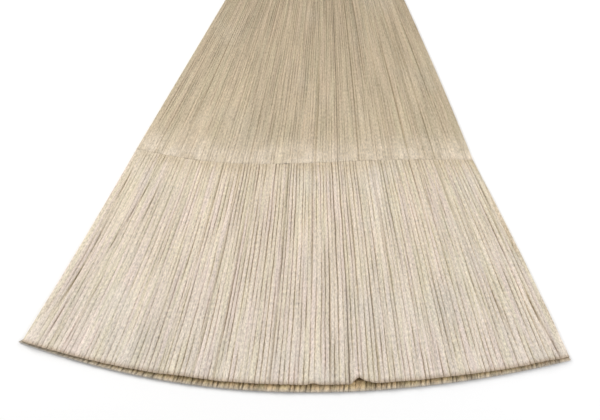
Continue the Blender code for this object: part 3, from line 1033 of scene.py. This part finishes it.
# The hidden backs are plain, with none of these
PLAIN_BACK = dict.fromkeys((
    "Valley depth", "Swell", "Fine swell", "Top roll", "Bottom roll", "Top puff", "Bottom puff", "Pucker",
), 0.0)
LOWER_BACK = dict(LOWER_FRONT, **PLAIN_BACK, **{
    "Rows": 36, "Reach rows": 8, "Height": 0.0009, "Lowest": 0.0007,
    "Depth at top": 0.0018, "Depth at bottom": 0.0021, "Depth at end": 0.0028, "Depth change": 0.40,
    "Calm left": 0.3, "Calm right": 0.3, "Hem side": -1.0, "Hem rise": 0.0, "Seed": 31.0,
})
LOWER_BACK_LOOK = dict(
    LOWER_LOOK, ridge_top=(0.64, 0.485, 0.265, 1), ridge_bottom=(0.64, 0.48, 0.255, 1),
    rose=(0.64, 0.43, 0.235, 1), sage=(0.55, 0.46, 0.235, 1),
    valley_shade_top=(0.25, 0.16, 0.06, 1), valley_shade_bottom=(0.25, 0.16, 0.06, 1), patch=(0.55, 0.40, 0.24, 1),
    edge=(0.50, 0.44, 0.36, 1), valley_to=0.68, soft=0.42, streaks=1.5, lines=1.3, tones=0.9, specks=1.1,
    seam_light_shade_share=0.0, glint=0.2,
)
lower_back_cloth = cloth_material("lower_back_cloth", LOWER_BACK_LOOK)
lower_back = pleated_panel(
    "lower_back_cloth", back_columns(BACK_STEPS), BACK_CREASES, (TIER_SEAM, FRONT_HEM, BACK_HEM),
    LOWER_BACK, lower_back_cloth,
)
last_row = LOWER_BACK["Rows"] + LOWER_BACK["Reach rows"] + LOWER_BACK["Turn rows"] - 1
back_stitches = stitch_row("hem_stitches_back", lower_back, last_row - 1, 0.0)
give_wall(lower_back)
show_as(lower_back, "lower_back")


# Upper tier, front
# The upper tier is a narrower tube of the same cloth, whose pleats run on into the lower tier's. A crosswise
# seam joins the two, above which it puffs up. Its pleats are finer and flatter, and painted shade makes them
# darker and more golden.
WAIST = crossing_line((-0.127, 0.510), (0.192, 0.510), 0.004)
UPPER_WIDTH = 0.47
UPPER_LENGTH = 0.430
UPPER_CLOTH_PER_PLEAT = 0.00622
UPPER_CUT_LENGTH = UPPER_LENGTH + 2 * SEAM_ALLOWANCE
UPPER_STEPS = 6
UPPER_CREASES = table(CREASE_COLUMNS, [
    (0.030, 0.02, 0.022, 0.96, 0.0006),
    (0.064, 0.25, 0.056, 1.30, 0.0007),
    (0.128, 0.15, 0.121, 1.30, 0.0007),
    (0.217, -0.30, 0.211, 0.55, 0.0005),
    (0.302, -0.40, 0.298, 0.70, 0.0006),
    (0.340, 0.50, 0.335, 1.40, 0.0007),
    (0.387, 0.45, 0.385, 1.40, 0.0006),
    (0.496, -0.40, 0.497, 0.65, 0.0006),
    (0.530, 0.05, 0.533, 1.60, 0.0012, 0.0015),
    (0.561, -0.40, 0.564, 0.50, 0.0006),
    (0.5990, -0.60, 0.5992, 1.60, 0.0008, 0.0014),
    (0.659, -0.40, 0.664, 1.40, 0.0009),
    (0.701, -0.40, 0.712, 0.75, 0.0010, 0.0013),
    (0.753, -0.30, 0.757, 1.40, 0.0009),
    (0.800, 0.14, 0.816, 1.30, 0.0013, 0.0015),
    (0.855, -0.30, 0.860, 1.40, 0.0009),
    (0.880, 0.20, 0.890, 1.30, 0.0010),
    (0.928, -0.20, 0.938, 0.95, 0.0010),
    (0.972, 0.30, 0.978, 1.10, 0.0007),
])
UPPER_SWELLS = table("across half high from to", [
    (0.160, 0.014, 0.0008, 0.10, 1.2),
    (0.360, 0.012, 0.0008, -0.2, 0.70),
    (0.450, 0.014, 0.0010, 0.40, 1.2),
    (0.680, 0.010, 0.0008, -0.2, 1.2),
    (0.845, 0.010, 0.0010, 0.00, 0.90),
])
UPPER_FRONT = dict(LOWER_FRONT, **{
    "Rows": 52, "Turn rows": 0, "Width": UPPER_WIDTH, "Length": 0.398,
    "Top waver": 0.0, "Bottom waver": 0.0010, "Bow left": 0.0,
    "Depth at top": 0.0013, "Depth at bottom": 0.0013,
    "Depth change": 0.40, "Valley depth": 0.0002, "Fading": 0.80, "Calm left": 0.2, "Calm right": 0.0,
    "Wobble": 0.0006, "Swell": 0.0004, "Fine swell": 0.0004,
    "Bottom roll": 0.0002, "Top puff": 0.0, "Bottom puff": 0.0007, "Pucker": 0.0009,
    "Hem allowance": 0.0, "Hem rise": 0.0, "Cloth per pleat": UPPER_CLOTH_PER_PLEAT, "Seed": 5.0,
})
# Darker and more golden than the lower tier, and darkest at the waist: painted shade. The light band above
# the seam is a painted highlight where the cloth puffs over it
UPPER_LOOK = dict(
    LOWER_LOOK, ridge_top=(0.43, 0.34, 0.225, 1), ridge_bottom=(0.55, 0.455, 0.32, 1),
    rose=(0.52, 0.41, 0.29, 1), sage=(0.47, 0.405, 0.27, 1),
    valley_shade_top=(0.34, 0.26, 0.155, 1), valley_shade_bottom=(0.43, 0.34, 0.22, 1), patch=(0.52, 0.45, 0.34, 1),
    crease=(0.25, 0.18, 0.09, 1), band=(0.71, 0.61, 0.485, 1), seam_light_shade_share=0.85, band_at=0.980,
    band_width=0.080, specks=1.0, lines=0.5,
)
upper_cloth = cloth_material("upper_tier_cloth", UPPER_LOOK)
upper_lines = (WAIST, TIER_SEAM, TIER_SEAM)
upper_fronts = tier_front(
    "upper", UPPER_CREASES, UPPER_SWELLS, [], UPPER_STEPS, upper_lines, UPPER_FRONT, upper_cloth,
)
for panel, part in zip(upper_fronts, FRONT_PARTS):
    give_wall(panel)
    cut = (part["count"] * UPPER_CLOTH_PER_PLEAT, UPPER_CUT_LENGTH)
    show_as(panel, f"upper_front_{part['side']}")


# Upper tier, back
# The back half of the upper tube lies flat on the surface, inside the rounded side folds of the front, and is
# sewn to the lower tier's back along the same crosswise seam.
UPPER_BACK = dict(UPPER_FRONT, **PLAIN_BACK, **{
    "Rows": 32, "Height": 0.0009, "Lowest": 0.0007, "Depth at top": 0.0021, "Depth at bottom": 0.0018,
    "Depth change": 0.1, "Seed": 37.0,
})
upper_back = pleated_panel(
    "upper_back_cloth", back_columns(BACK_STEPS), BACK_CREASES, upper_lines, UPPER_BACK, upper_cloth,
)
give_wall(upper_back)
show_as(upper_back, "upper_back")


# Waistband
# A strip of the same cloth is folded over a soft elastic to a casing 30 mm high, drawn up in small gathers
# and stitched through in three rows. Its front and back halves meet in the folds at the two sides.
BAND_TOP = crossing_line((-0.127, BAND_TOP_Y), (0.192, BAND_TOP_Y), 0.004)
BAND_LENGTH = 0.030
BAND_WIDTH = 0.32
BAND_CLOTH_PER_GATHER = 0.00338
BAND_STEPS = 4
BAND_STITCH_HEIGHTS = (0.006, 0.015, 0.024)
BAND_CREASES = table(CREASE_COLUMNS, [
    (share, -0.50, share, 1.50, 0.0006, 0.0016) for share in (0.11, 0.24, 0.41, 0.56, 0.73, 0.90)
])
BAND_FRONT = dict(UPPER_FRONT, **{
    "Rows": 20, "Turn rows": 14, "Width": BAND_WIDTH, "Length": BAND_LENGTH, "Onwards": 1.0,
    "Bottom waver": 0.0, "Bow right": 0.0, "Height": 0.0063, "Lowest": 0.0058,
    "Depth at top": 0.0009, "Depth at bottom": 0.0008, "Depth change": 0.35, "Valley depth": 0.0002,
    "Fading": 0.7, "Calm left": 0.0, "Wobble": 0.0003, "Swell": 0.0002, "Fine swell": 0.0002,
    "Top roll": 0.0006, "Bottom roll": 0.0, "Bottom puff": 0.0, "Pucker": 0.0,
    "Hem allowance": 0.027, "Hem radius": 0.0010, "Cloth per pleat": BAND_CLOTH_PER_GATHER, "Seed": 9.0,
})
BAND_BACK = dict(BAND_FRONT, **PLAIN_BACK, **{
    "Height": 0.0007, "Lowest": 0.0006, "Depth at top": 0.0010, "Depth at bottom": 0.0010,
    "Depth change": 0.2, "Hem radius": 0.0008, "Hem side": -1.0, "Seed": 41.0,
})
# The waistband has the upper tier's darkest colours all over, the painted shade of the waist end
BAND_LOOK = dict(
    UPPER_LOOK, ridge_bottom=(0.43, 0.34, 0.225, 1), valley_shade_bottom=(0.32, 0.245, 0.145, 1),
    edge=(0.48, 0.39, 0.27, 1), seam_light_shade_share=0.0,
)
band_cloth = cloth_material("waistband_cloth", BAND_LOOK)
front_gathers = pleat_columns(0, FACE_PLEATS, SIDE_FOLD_SHARE, 1 - SIDE_FOLD_SHARE, BAND_STEPS)
front_gathers = side_columns("left") + front_gathers + side_columns("right")
band_lines = (WAIST, BAND_TOP, BAND_TOP)
for face, columns, values, lies_on in (
    ("front", front_gathers, BAND_FRONT, "waistband_back"),
    ("back", back_columns(BAND_STEPS), BAND_BACK, "floor"),
):
    band = pleated_panel(f"waistband_{face}_cloth", columns, BAND_CREASES, band_lines, values, band_cloth)
    rows_of_stitches = [
        stitch_row(f"waistband_stitches_{i + 1}", band, row_at(values, height), SIDE_FOOT)
        for i, height in enumerate(BAND_STITCH_HEIGHTS)
    ] if face == "front" else []
    give_wall(band)
    show_as(band, f"waistband_{face}")
